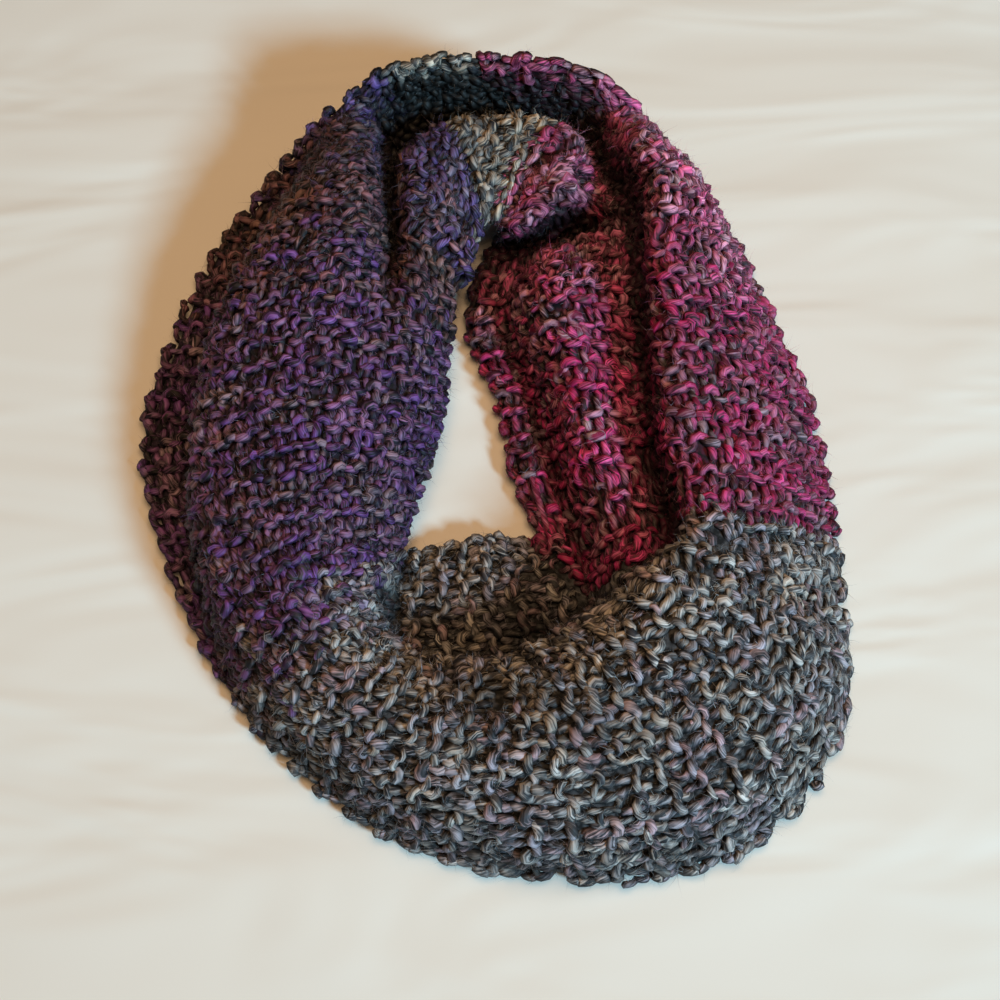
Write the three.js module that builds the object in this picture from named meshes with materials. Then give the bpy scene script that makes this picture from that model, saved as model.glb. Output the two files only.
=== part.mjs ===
// Infinity scarf: one closed loop of thick garter-stitch knit, laid down in a rough ring.
//
// The loop is a band of fabric. Nineteen sections are laid round it, each one row of the
// SECTIONS table, and every section crosses the band from its inner hem to its outer hem.
// Nine fold lines run the whole way round and pass through the same place in each section:
// the inner hem, the roll of the inner flap, the inner fold, the middle roll, the groove,
// the crest, the flank, the foot of the outer panel and the outer hem.
// The fabric is a wall of even thickness round that middle surface.
// It is parted into four stretches, one for each colour of yarn that shows.
//
// Millimetres, +Z up, +X to the right and +Y away from the viewer.

import * as THREE from "three";

// Driving dimensions.
const FABRIC_THICKNESS = 4; // thick knit, at the middle of its stitches
const STRETCH_GAP = 0.3; // clear gap between two neighbouring stretches
const HEM_ROUND = 1.5; // how far the rounded hem stands past the wall's end
const RINGS_PER_SECTION = 5; // rings of the wall between two sections
const STEPS_PER_FOLD = 3; // steps of a ring between two fold lines

// The sections, anticlockwise from the lower right.
// fold: plan place and height of the inner fold, from which the section is set out.
// flap: heading of the inner flap (degrees, anticlockwise from +X), then reach and height
//       of its roll and of the inner hem, measured from the inner fold.
// mid:  heading of the middle panel, then reach and height of its roll and of the groove,
//       measured from the inner fold.
// out:  heading of the outer panel, then reach and height of its crest, flank, foot and
//       hem, measured from the groove.
// Heights are those of the fabric's middle surface over the ground. A hem height below it
// means that the hem's last stretch lies pressed flat on the ground.
const SECTION_COLUMNS = [
  "name",
  "foldX", "foldY", "foldZ",
  "flapTurn", "rollReach", "rollZ", "innerHemReach", "innerHemZ",
  "midTurn", "midReach", "midZ", "grooveReach", "grooveZ",
  "outTurn", "crestReach", "crestZ", "flankReach", "flankZ",
  "footReach", "footZ", "outerHemReach", "outerHemZ",
];
const SECTIONS = [
  ["right corner", 41, -43, 6, 140, 14, 12, 32, 3, 10, 18, 35, 40, 26, 8, 9, 60, 43, 46, 76, 13, 86, -5],
  ["right, low", 26, 12, 5, 177, 10, 12, 21, 2, -3, 18, 37, 47, 26, -3, 9, 58, 52, 43, 82, 12, 92, -5],
  ["right", 14, 55, 5, 179, 8, 12, 16, 2, -1, 22, 40, 58, 28, -1, 9, 61, 50, 42, 78, 12, 87, -5],
  ["right, high", -1, 98, 5, 183, 8, 12, 17, 2, 3, 27, 45, 70, 31, 3, 10, 67, 42, 47, 65, 13, 75, -5],
  ["pit", 8, 148, 5, 180, 6, 6, 12, 4, 0, 23, 14, 60, 32, 10, 10, 70, 33, 51, 50, 16, 58, -5],
  ["bump", 9, 141, 33, 155, 5, 30, 10, 25, 20, 22, 53, 58, 31, 19, 9, 70, 27, 55, 41, 22, 49, -5],
  ["top, right", 0, 148, 34, 128, 5, 28, 10, 20, 45, 49, 54, 66, 18, 55, 8, 46, 10, 57, 12, 65, 14, 71],
  ["top", -8, 147, 34, 122, 8, 24, 16, 14, 93, 46, 53, 62, 18, 100, 8, 46, 9, 57, 10, 66, 11, 73],
  ["top, left", -15, 126, 30, 135, 9, 20, 18, 8, 121, 53, 54, 77, 18, 126, 15, 46, 17, 58, 19, 66, 20, 71],
  ["left, high", -25, 102, 24, 150, 10, 12, 22, 3, 140, 24, 48, 40, 27, 158, 17, 66, 50, 52, 74, 8, 96, 2],
  ["left, upper", -28, 78, 18, 176, 10, 8, 24, 2, 165, 15, 44, 31, 46, 178, 25, 60, 75, 45, 89, 3, 114, 2],
  ["left", -33, 28, 17, 186, 10, 8, 24, 2, 180, 14, 43, 30, 52, 184, 28, 60, 78, 42, 92, 2, 117, 2],
  ["left, low", -44, -12, 16, 186, 9, 10, 20, 6, 190, 14, 41, 30, 50, 195, 25, 58, 64, 41, 77, 3, 89, 2],
  ["left corner", -52, -52, 17, 175, 9, 12, 17, 9, 205, 14, 40, 28, 50, 215, 18, 57, 40, 42, 54, 13, 61, -5],
  ["front, left", -44, -84, 8, 88, 28, 9, 55, 3, 240, 4, 30, 18, 48, 233, 16, 57, 36, 41, 47, 13, 54, -5],
  ["front", -20, -97, 6, 92, 36, 14, 70, 8, 275, -2, 33, 14, 48, 250, 18, 57, 45, 40, 58, 13, 65, -5],
  ["front, middle", 9, -97, 5, 100, 40, 17, 75, 10, 300, -5, 38, 12, 52, 285, 28, 59, 64, 41, 76, 13, 81, -5],
  ["front, right", 38, -80, 5, 121, 33, 15, 65, 8, 330, -4, 40, 11, 52, 305, 16, 61, 80, 43, 100, 13, 108, -5],
  ["lower right", 44, -62, 7, 131, 24, 12, 49, 5, 0, 9, 28, 15, 47, 330, 15, 61, 80, 46, 106, 13, 113, -5],
];

// The front stretch's flap comes out from under the purple fold as a lip, so where that stretch
// starts it sets out its own fold height and flap.
const FLAP_COLUMNS = ["name", "foldZ", "flapTurn", "rollReach", "rollZ", "innerHemReach", "innerHemZ"];
const LIP_START = [
  ["left, low", 10, 235, 12, 5, 22, 2],
  ["left corner", 9, 76, 11, 5, 22, 2],
];

// Over the top the rows of stitches lie slanted, with the outer folds ahead of the inner ones.
// Places and reach are counted in sections, the fold and its ease in fold lines from the inner hem.
const SLANT = { place: 6.9, spread: 1.1, reach: 0.42, fold: 4.6, ease: 1.5 };

// The stretches, by yarn colour. Each runs from one place round the loop to the next,
// counted in sections from the lower right corner.
const STRETCHES = [
  { name: "raspberry_right", from: 0, to: 6.6, colour: 0x8c2f55 },
  { name: "grey_top", from: 6.6, to: 7.6, colour: 0x7c7676 },
  { name: "purple_left", from: 7.6, to: 13, colour: 0x4d3f5c },
  { name: "grey_front", from: 13, to: 19, colour: 0x6b6769, flaps: LIP_START },
];

const HALF_WALL = FABRIC_THICKNESS / 2;

/** Unit vector in plan for a heading in degrees. */
function heading(degrees) {
  const angle = THREE.MathUtils.degToRad(degrees);
  return new THREE.Vector3(Math.cos(angle), Math.sin(angle), 0);
}

/** A table row as an object with its columns' names. */
function named(columns, row) {
  return Object.fromEntries(columns.map((column, i) => [column, row[i]]));
}

/** The nine fold-line points of one section, inner hem first. */
function sectionPoints(at) {
  const fold = new THREE.Vector3(at.foldX, at.foldY, 0);
  const reach = (from, turn, distance, z) => from.clone().addScaledVector(heading(turn), distance).setZ(z);
  const groove = reach(fold, at.midTurn, at.grooveReach, 0);
  return [
    reach(fold, at.flapTurn, at.innerHemReach, at.innerHemZ),
    reach(fold, at.flapTurn, at.rollReach, at.rollZ),
    fold.clone().setZ(at.foldZ),
    reach(fold, at.midTurn, at.midReach, at.midZ),
    groove.clone().setZ(at.grooveZ),
    reach(groove, at.outTurn, at.crestReach, at.crestZ),
    reach(groove, at.outTurn, at.flankReach, at.flankZ),
    reach(groove, at.outTurn, at.footReach, at.footZ),
    reach(groove, at.outTurn, at.outerHemReach, at.outerHemZ),
  ];
}

/** The fold lines round the loop, with a stretch's own flaps in place of the table's. */
function foldLinesWith(flaps) {
  const own = flaps.map((row) => named(FLAP_COLUMNS, row));
  const rows = SECTIONS.map((row) => {
    const at = named(SECTION_COLUMNS, row);
    return sectionPoints({ ...at, ...own.find((flap) => flap.name === at.name) });
  });
  return rows[0].map((_, fold) =>
    new THREE.CatmullRomCurve3(rows.map((points) => points[fold]), true, "centripetal"));
}

/** How far a fold line runs ahead of its place, counted in sections. */
function slantAt(place, fold) {
  const nearness = Math.exp(-(((place - SLANT.place) / SLANT.spread) ** 2));
  return SLANT.reach * nearness * Math.tanh((fold - SLANT.fold) / SLANT.ease);
}

/** Points across the band at one place, none lower than the ground lets the wall lie. */
function ringPoints(foldLines, place) {
  const turn = (fold) => THREE.MathUtils.euclideanModulo((place + slantAt(place, fold)) / SECTIONS.length, 1);
  const corners = foldLines.map((line, fold) => line.getPoint(turn(fold)));
  const curve = new THREE.CatmullRomCurve3(corners, false, "centripetal");
  const steps = (foldLines.length - 1) * STEPS_PER_FOLD;
  return Array.from({ length: steps + 1 }, (_, i) => {
    const point = curve.getPoint(i / steps);
    return point.setZ(Math.max(point.z, HALF_WALL));
  });
}

/** One closed outline of the wall: over the top, round the outer hem, back underneath.
 *  Where the fabric is pressed on the ground its wall is level. */
function ringOutline(foldLines, place, shift) {
  const step = 0.02;
  const points = ringPoints(foldLines, place);
  const ahead = ringPoints(foldLines, place + step);
  const behind = ringPoints(foldLines, place - step);
  const last = points.length - 1;
  const upper = [];
  const lower = [];
  const tips = [];
  points.forEach((point, i) => {
    const along = ahead[i].clone().sub(behind[i]).normalize();
    const across = points[Math.min(i + 1, last)].clone().sub(points[Math.max(i - 1, 0)]).normalize();
    const normal = along.clone().cross(across).negate().normalize();
    const pressed = point.z <= HALF_WALL;
    if (pressed) normal.set(0, 0, Math.sign(normal.z));
    const centre = point.clone().addScaledVector(along, shift);
    const floor = (p) => p.setZ(Math.max(p.z, 0));
    upper.push(floor(centre.clone().addScaledVector(normal, HALF_WALL)));
    lower.push(floor(centre.clone().addScaledVector(normal, -HALF_WALL)));
    if (i === 0) tips.push(floor(centre.clone().addScaledVector(across, -HEM_ROUND)));
    if (i === last) tips.push(floor(centre.clone().addScaledVector(across, HEM_ROUND)));
  });
  return [...upper, tips[1], ...lower.reverse(), tips[0]];
}

/** Closed wall of one stretch: rings of outlines, with a cap at each end. */
function stretchGeometry({ from, to, flaps = [] }) {
  const foldLines = foldLinesWith(flaps);
  const spans = Math.max(2, Math.round((to - from) * RINGS_PER_SECTION));
  const rings = Array.from({ length: spans + 1 }, (_, i) => {
    const shift = i === 0 ? STRETCH_GAP / 2 : i === spans ? -STRETCH_GAP / 2 : 0;
    return ringOutline(foldLines, from + ((to - from) * i) / spans, shift);
  });
  const points = rings.flat();
  const size = rings[0].length;
  const half = (size - 2) / 2;
  const indices = [];
  // Four corners in order, split along the shorter diagonal.
  const quad = (a, b, c, d) => {
    if (points[a].distanceTo(points[c]) < points[b].distanceTo(points[d])) {
      indices.push(a, b, c, a, c, d);
    } else {
      indices.push(a, b, d, b, c, d);
    }
  };
  for (let ring = 0; ring < spans; ring += 1) {
    for (let k = 0; k < size; k += 1) {
      const a = ring * size + k;
      const b = ring * size + ((k + 1) % size);
      quad(a, b, b + size, a + size);
    }
  }
  // A cap joins each upper point to the lower one under it, and the two hem tips to their ends.
  const upper = (base, k) => base + k;
  const lower = (base, k) => base + size - 2 - k;
  const start = 0;
  const end = spans * size;
  for (let k = 0; k < half - 1; k += 1) {
    quad(upper(start, k), lower(start, k), lower(start, k + 1), upper(start, k + 1));
    quad(upper(end, k), upper(end, k + 1), lower(end, k + 1), lower(end, k));
  }
  indices.push(upper(start, half - 1), lower(start, half - 1), start + half);
  indices.push(upper(end, half - 1), end + half, lower(end, half - 1));
  indices.push(upper(start, 0), start + size - 1, lower(start, 0));
  indices.push(upper(end, 0), lower(end, 0), end + size - 1);
  const geometry = new THREE.BufferGeometry();
  geometry.setAttribute("position", new THREE.Float32BufferAttribute(points.flatMap((p) => [p.x, p.y, p.z]), 3));
  geometry.setIndex(indices);
  return geometry;
}

const scarf = new THREE.Group();
scarf.name = "infinity_scarf";
for (const stretch of STRETCHES) {
  const material = new THREE.MeshStandardMaterial({ color: stretch.colour, roughness: 0.95, metalness: 0 });
  const mesh = new THREE.Mesh(stretchGeometry(stretch), material);
  mesh.name = stretch.name;
  scarf.add(mesh);
}

// The origin is under the middle of the loop, on the ground it lies on.
const box = new THREE.Box3().setFromObject(scarf);
const centre = box.getCenter(new THREE.Vector3());
for (const mesh of scarf.children) {
  mesh.position.set(-centre.x, -centre.y, -box.min.z);
}

export default scarf;
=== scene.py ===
"""Infinity scarf of thick garter-stitch knit, laid down in a ring and built stitch by stitch.

The scarf is one closed band of fabric. Its middle surface is set out by nineteen sections round
the loop, and the yarn of every row is laid over that surface as a looping tube: heads and feet
of the loops stand out as ridges, and their legs lie in the valleys between. Each stretch of
colour has a thin backing sheet, its rows of yarn, and the loose fibres that stand off the yarn.
Painted shade darkens the yarn's colour in the folds, deep among the stitches, at its sides and
at a few listed spots, painted light brightens a few others, and the backing's dark colour is
painted shade for the gaps between the stitches.

Lengths are in metres, with +Z up, +X to the right and +Y away from the camera.
"""

import logging
import math
from dataclasses import dataclass, field
from enum import Enum
from typing import NamedTuple

import bpy
import numpy as np
from mathutils import Euler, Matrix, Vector
from numpy.typing import NDArray


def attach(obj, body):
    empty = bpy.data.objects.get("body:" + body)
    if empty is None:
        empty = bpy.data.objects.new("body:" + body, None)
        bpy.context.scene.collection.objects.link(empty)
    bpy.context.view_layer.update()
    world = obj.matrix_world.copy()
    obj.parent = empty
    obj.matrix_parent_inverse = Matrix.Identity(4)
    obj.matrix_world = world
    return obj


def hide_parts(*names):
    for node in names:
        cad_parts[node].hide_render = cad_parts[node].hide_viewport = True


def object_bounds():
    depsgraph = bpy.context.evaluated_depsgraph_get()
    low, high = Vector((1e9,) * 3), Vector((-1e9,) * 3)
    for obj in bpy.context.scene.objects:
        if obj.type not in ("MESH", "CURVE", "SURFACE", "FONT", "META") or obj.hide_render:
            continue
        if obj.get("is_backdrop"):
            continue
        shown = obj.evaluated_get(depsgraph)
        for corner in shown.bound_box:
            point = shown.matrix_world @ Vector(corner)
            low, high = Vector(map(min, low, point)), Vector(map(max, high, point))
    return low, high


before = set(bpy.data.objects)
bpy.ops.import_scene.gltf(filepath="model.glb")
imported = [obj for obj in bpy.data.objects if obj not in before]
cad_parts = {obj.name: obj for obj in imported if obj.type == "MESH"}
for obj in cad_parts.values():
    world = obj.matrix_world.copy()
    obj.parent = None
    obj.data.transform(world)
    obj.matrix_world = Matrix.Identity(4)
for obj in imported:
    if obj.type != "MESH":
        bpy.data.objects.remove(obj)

LOG = logging.getLogger("infinity_scarf")
MM = 0.001  # metres in a millimetre
CLEARANCE = 0.2 * MM  # least height over the ground of the yarn, the backing and a fibre's middle
HALF_WALL = 2 * MM  # half the thickness of the solids' wall
FIBRES_PER_ROW = 230  # loose fibres on each row of yarn
Numbers = NDArray[np.float64]
Counts = NDArray[np.int64]
Span = tuple[float, float]
Feed = float | tuple[float, ...] | bpy.types.NodeSocket


class Section(NamedTuple):
    """One section across the band, set out from its inner fold, in millimetres and degrees.

    Turns are headings anticlockwise from +X. The flap and the middle panel are measured from the
    inner fold, and the outer panel from the groove. Heights are those of the middle surface, and
    a hem height below the ground means that the hem's last stretch lies pressed flat on it.
    """

    name: str
    fold_x: float
    fold_y: float
    fold_z: float
    flap_turn: float
    roll_reach: float
    roll_z: float
    inner_hem_reach: float
    inner_hem_z: float
    mid_turn: float
    mid_reach: float
    mid_z: float
    groove_reach: float
    groove_z: float
    out_turn: float
    crest_reach: float
    crest_z: float
    flank_reach: float
    flank_z: float
    foot_reach: float
    foot_z: float
    outer_hem_reach: float
    outer_hem_z: float

    def points(self) -> Numbers:
        """Set out the section's nine fold points.

        Returns:
            The points in metres, inner hem first, one a row.
        """
        fold = np.array([self.fold_x, self.fold_y])
        flap = heading(self.flap_turn)
        mid = heading(self.mid_turn)
        out = heading(self.out_turn)
        groove = fold + mid * self.groove_reach
        plan = [
            (fold + flap * self.inner_hem_reach, self.inner_hem_z),
            (fold + flap * self.roll_reach, self.roll_z),
            (fold, self.fold_z),
            (fold + mid * self.mid_reach, self.mid_z),
            (groove, self.groove_z),
            (groove + out * self.crest_reach, self.crest_z),
            (groove + out * self.flank_reach, self.flank_z),
            (groove + out * self.foot_reach, self.foot_z),
            (groove + out * self.outer_hem_reach, self.outer_hem_z),
        ]
        return np.array([(*place, height) for place, height in plan]) * MM


class Flap(NamedTuple):
    """A stretch's own inner flap at one section, in place of that section's flap."""

    name: str
    fold_z: float
    flap_turn: float
    roll_reach: float
    roll_z: float
    inner_hem_reach: float
    inner_hem_z: float


# Each row gives the inner fold, the flap and the middle panel, then the outer panel from the groove.
SECTION_ROWS = (
    ("right corner", 41, -43, 6, 140, 14, 12, 32, 3, 10, 18, 35, 40, 26,
     8, 9, 60, 43, 46, 76, 13, 86, -5),
    ("right, low", 26, 12, 5, 177, 10, 12, 21, 2, -3, 18, 37, 47, 26,
     -3, 9, 58, 52, 43, 82, 12, 92, -5),
    ("right", 14, 55, 5, 179, 8, 12, 16, 2, -1, 22, 40, 58, 28,
     -1, 9, 61, 50, 42, 78, 12, 87, -5),
    ("right, high", -1, 98, 5, 183, 8, 12, 17, 2, 3, 27, 45, 70, 31,
     3, 10, 67, 42, 47, 65, 13, 75, -5),
    ("pit", 8, 148, 5, 180, 6, 6, 12, 4, 0, 23, 14, 60, 32,
     10, 10, 70, 33, 51, 50, 16, 58, -5),
    ("bump", 9, 141, 33, 155, 5, 30, 10, 25, 20, 22, 53, 58, 31,
     19, 9, 70, 27, 55, 41, 22, 49, -5),
    ("top, right", 0, 148, 34, 128, 5, 28, 10, 20, 45, 49, 54, 66, 18,
     55, 8, 46, 10, 57, 12, 65, 14, 71),
    ("top", -8, 147, 34, 122, 8, 24, 16, 14, 93, 46, 53, 62, 18,
     100, 8, 46, 9, 57, 10, 66, 11, 73),
    ("top, left", -15, 126, 30, 135, 9, 20, 18, 8, 121, 53, 54, 77, 18,
     126, 15, 46, 17, 58, 19, 66, 20, 71),
    ("left, high", -25, 102, 24, 150, 10, 12, 22, 3, 140, 24, 48, 40, 27,
     158, 17, 66, 50, 52, 74, 8, 96, 2),
    ("left, upper", -28, 78, 18, 176, 10, 8, 24, 2, 165, 15, 44, 31, 46,
     178, 25, 60, 75, 45, 89, 3, 114, 2),
    ("left", -33, 28, 17, 186, 10, 8, 24, 2, 180, 14, 43, 30, 52,
     184, 28, 60, 78, 42, 92, 2, 117, 2),
    ("left, low", -44, -12, 16, 186, 9, 10, 20, 6, 190, 14, 41, 30, 50,
     195, 25, 58, 64, 41, 77, 3, 89, 2),
    ("left corner", -52, -52, 17, 175, 9, 12, 17, 9, 205, 14, 40, 28, 50,
     215, 18, 57, 40, 42, 54, 13, 61, -5),
    ("front, left", -44, -84, 8, 88, 28, 9, 55, 3, 240, 4, 30, 18, 48,
     233, 16, 57, 36, 41, 47, 13, 54, -5),
    ("front", -20, -97, 6, 92, 36, 14, 70, 8, 275, -2, 33, 14, 48,
     250, 18, 57, 45, 40, 58, 13, 65, -5),
    ("front, middle", 9, -97, 5, 100, 40, 17, 75, 10, 300, -5, 38, 12, 52,
     285, 28, 59, 64, 41, 76, 13, 81, -5),
    ("front, right", 38, -80, 5, 121, 33, 15, 65, 8, 330, -4, 40, 11, 52,
     305, 16, 61, 80, 43, 100, 13, 108, -5),
    ("lower right", 44, -62, 7, 131, 24, 12, 49, 5, 0, 9, 28, 15, 47,
     330, 15, 61, 80, 46, 106, 13, 113, -5),
)
SECTIONS = tuple(Section(*row) for row in SECTION_ROWS)

# The front's flap comes out from under the purple fold as a lip.
LIP_START: tuple[Flap, ...] = (
    Flap("left, low", 10, 235, 12, 5, 22, 2),
    Flap("left corner", 9, 76, 11, 5, 22, 2),
)


@dataclass(frozen=True)
class Slant:
    """How the rows of stitches lie slanted over the top, the outer folds ahead of the inner.

    Attributes:
        place: Where the slant is greatest, counted in sections.
        spread: How far from there it dies out, in sections.
        reach: How far ahead or behind a fold line is at most, in sections.
        fold: The fold line, counted from the inner hem, that stays in its place.
        ease: How many fold lines the change takes.
    """

    place: float = 6.9
    spread: float = 1.1
    reach: float = 0.42
    fold: float = 4.6
    ease: float = 1.5

    def ahead(self, place: Numbers, fold: Numbers) -> Numbers:
        """Return how far each fold line runs ahead of its place, in sections."""
        nearness = np.exp(-(((place - self.place) / self.spread) ** 2))
        return self.reach * nearness * np.tanh((fold - self.fold) / self.ease)


SLANT = Slant()


def heading(degrees: float) -> Numbers:
    """Return the unit vector in plan for a heading in degrees."""
    return np.array([math.cos(math.radians(degrees)), math.sin(math.radians(degrees))])


def linear(hex_colour: str) -> Numbers:
    """Turn a colour as it looks on screen into linear light.

    Args:
        hex_colour: Six hex digits, such as "c83c6e".

    Returns:
        Red, green and blue from 0 to 1.
    """
    screen = np.array([int(hex_colour[i : i + 2], 16) for i in (0, 2, 4)]) / 255
    return np.where(screen <= 0.04045, screen / 12.92, ((screen + 0.055) / 1.055) ** 2.4)


def unit(vectors: Numbers) -> Numbers:
    """Return the vectors at length one."""
    return vectors / np.maximum(np.linalg.norm(vectors, axis=-1, keepdims=True), 1e-12)


def run_length(path: Numbers) -> Numbers:
    """Return how far along a path each of its points lies."""
    return np.concatenate([[0], np.cumsum(np.linalg.norm(np.diff(path, axis=0), axis=1))])


def rings(over: Numbers, across: Numbers, sides: int) -> Numbers:
    """Return the directions from a tube's centre line to its sides, one ring for each point."""
    angle = (np.arange(sides) / sides * 2 * math.pi)[None, :, None]
    return np.cos(angle) * over[:, None] + np.sin(angle) * across[:, None]


def smooth(share: Numbers) -> Numbers:
    """Ease a share in and out between 0 and 1."""
    return share**2 * (3 - 2 * share)


def spline(before: Numbers, start: Numbers, end: Numbers, after: Numbers, share: Numbers) -> Numbers:
    """Run a centripetal spline from start to end.

    Args:
        before: The points before start.
        start: The points at share 0.
        end: The points at share 1.
        after: The points after end.
        share: How far along, from 0 to 1, with a last axis of one.

    Returns:
        The points on the spline.
    """
    def knot(a: Numbers, b: Numbers) -> Numbers:
        """Return the knot step between two points, the root of their distance."""
        return np.maximum(np.sqrt(np.linalg.norm(a - b, axis=-1, keepdims=True)), 1e-4)

    into, along, out = knot(before, start), knot(start, end), knot(end, after)
    leave = ((start - before) / into - (end - before) / (into + along) + (end - start) / along) * along
    reach = ((end - start) / along - (after - start) / (along + out) + (after - end) / out) * along
    square = -3 * start + 3 * end - 2 * leave - reach
    cube = 2 * start - 2 * end + leave + reach
    return start + leave * share + square * share**2 + cube * share**3


def wander(rng: np.random.Generator, count: int, step: float) -> Numbers:
    """Make a smooth random walk about zero.

    Args:
        rng: The source of randomness.
        count: How many values.
        step: How many values lie between two turns of the walk.

    Returns:
        The values, with a spread of about one.
    """
    knots = rng.normal(size=int(count / step) + 3)
    place = np.arange(count) / step + rng.random()
    whole = np.floor(place).astype(int)
    ease = (1 - np.cos((place - whole) * math.pi)) / 2
    return knots[whole] * (1 - ease) + knots[whole + 1] * ease


@dataclass
class BandSurface:
    """The fabric's middle surface, as a fine grid round the loop and across the band.

    Attributes:
        flaps: The flaps that take the place of the sections' own.
        per_section: Grid lines between two sections.
        per_fold: Points of the curve across the band between two fold points.
        across: Grid points from the inner hem to the outer hem.
        rest: Height of the middle surface where the fabric lies on the ground.
    """

    flaps: tuple[Flap, ...] = ()
    per_section: int = 24
    per_fold: int = 24
    across: int = 169
    rest: float = 5.2 * MM
    points: Numbers = field(init=False)
    normals: Numbers = field(init=False)
    outward: Numbers = field(init=False)
    widths: Numbers = field(init=False)

    def __post_init__(self) -> None:
        """Work out the grid."""
        own = {flap.name: flap._asdict() for flap in self.flaps}
        sections = [section._replace(**own.get(section.name, {})) for section in SECTIONS]
        corners = np.array([section.points() for section in sections])
        lines = self._round(corners)
        last = lines.shape[1] - 1
        fine = self._across(lines, np.linspace(0, last, last * self.per_fold + 1))
        fine[..., 2] = self._laid(fine[..., 2])
        steps = np.linalg.norm(np.diff(fine, axis=1), axis=-1)
        reach = np.concatenate([np.zeros((len(fine), 1)), np.cumsum(steps, axis=1)], axis=1)
        self.widths = reach[:, -1]
        even = np.linspace(0, 1, self.across)
        self.points = np.array(
            [
                np.stack([np.interp(even * total, run, ring[:, axis]) for axis in range(3)], axis=-1)
                for ring, run, total in zip(fine, reach, self.widths)
            ]
        )
        along = np.roll(self.points, -1, axis=0) - np.roll(self.points, 1, axis=0)
        self.outward = unit(np.gradient(self.points, axis=1))
        self.normals = unit(np.cross(self.outward, along))

    def _laid(self, heights: Numbers) -> Numbers:
        """Ease heights that would sink the stitches into the ground up to the rest height."""
        return self.rest + np.logaddexp(0, (heights - self.rest) / MM) * MM

    def _round(self, corners: Numbers) -> Numbers:
        """Run the fold lines round the closed loop.

        Args:
            corners: The sections' fold points.

        Returns:
            The fold points at every grid line.
        """
        count, folds, _ = corners.shape
        place = np.arange(count * self.per_section)[:, None] / self.per_section
        fold = np.arange(folds)[None]
        at = place + SLANT.ahead(place, fold)
        whole = np.floor(at).astype(int)
        before, start, end, after = (corners[(whole + i) % count, fold] for i in (-1, 0, 1, 2))
        return spline(before, start, end, after, (at - whole)[..., None])

    def _across(self, lines: Numbers, stations: Numbers) -> Numbers:
        """Run a curve across the band through the fold points of each grid line.

        Args:
            lines: The fold points at every grid line.
            stations: Where on the curve, counted in fold points.

        Returns:
            A row of points for every grid line.
        """
        first = 2 * lines[:, :1] - lines[:, 1:2]
        last = 2 * lines[:, -1:] - lines[:, -2:-1]
        held = np.concatenate([first, lines, last], axis=1)
        whole = np.minimum(stations.astype(int), lines.shape[1] - 2)
        share = (stations - whole)[None, :, None]
        return spline(held[:, whole], held[:, whole + 1], held[:, whole + 2], held[:, whole + 3], share)

    def sample(self, place: Numbers, share: Numbers) -> tuple[Numbers, Numbers]:
        """Read the surface between the grid's points.

        Args:
            place: Where round the loop, counted in sections.
            share: Where across the band, from 0 at the inner hem to 1 at the outer hem. Past
                either hem the surface runs straight on.

        Returns:
            The points and the normals.
        """
        inside = np.clip(share, 0, 1)
        row = place * self.per_section
        column = np.minimum(inside * (self.across - 1), self.across - 1.001)
        i = np.floor(row).astype(int)
        j = np.floor(column).astype(int)
        a = (row - i)[..., None]
        b = (column - j)[..., None]
        i0 = i % len(self.points)
        i1 = (i + 1) % len(self.points)

        def read(grid: Numbers) -> Numbers:
            """Blend the four grid values round each place.

            Args:
                grid: The values.

            Returns:
                The blended values.
            """
            near = grid[i0, j] * (1 - b) + grid[i0, j + 1] * b
            far = grid[i1, j] * (1 - b) + grid[i1, j + 1] * b
            return near * (1 - a) + far * a

        past = ((share - inside) * self.widths[i0])[..., None]
        return read(self.points) + unit(read(self.outward)) * past, unit(read(self.normals))

    def spacing(self, place: float) -> Numbers:
        """Tell how far one section's step goes round the loop.

        Args:
            place: Where round the loop, counted in sections.

        Returns:
            The length of the step at each grid point across.
        """
        row = int(round(place * self.per_section))
        ahead = self.points[(row + 1) % len(self.points)]
        behind = self.points[(row - 1) % len(self.points)]
        return np.linalg.norm(ahead - behind, axis=-1) * self.per_section / 2

    def move(self, shift: Numbers) -> None:
        """Move the whole surface."""
        self.points = self.points + shift


# Painted shade: this map darkens the yarn's colours in folds, creases and under overhangs.
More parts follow.
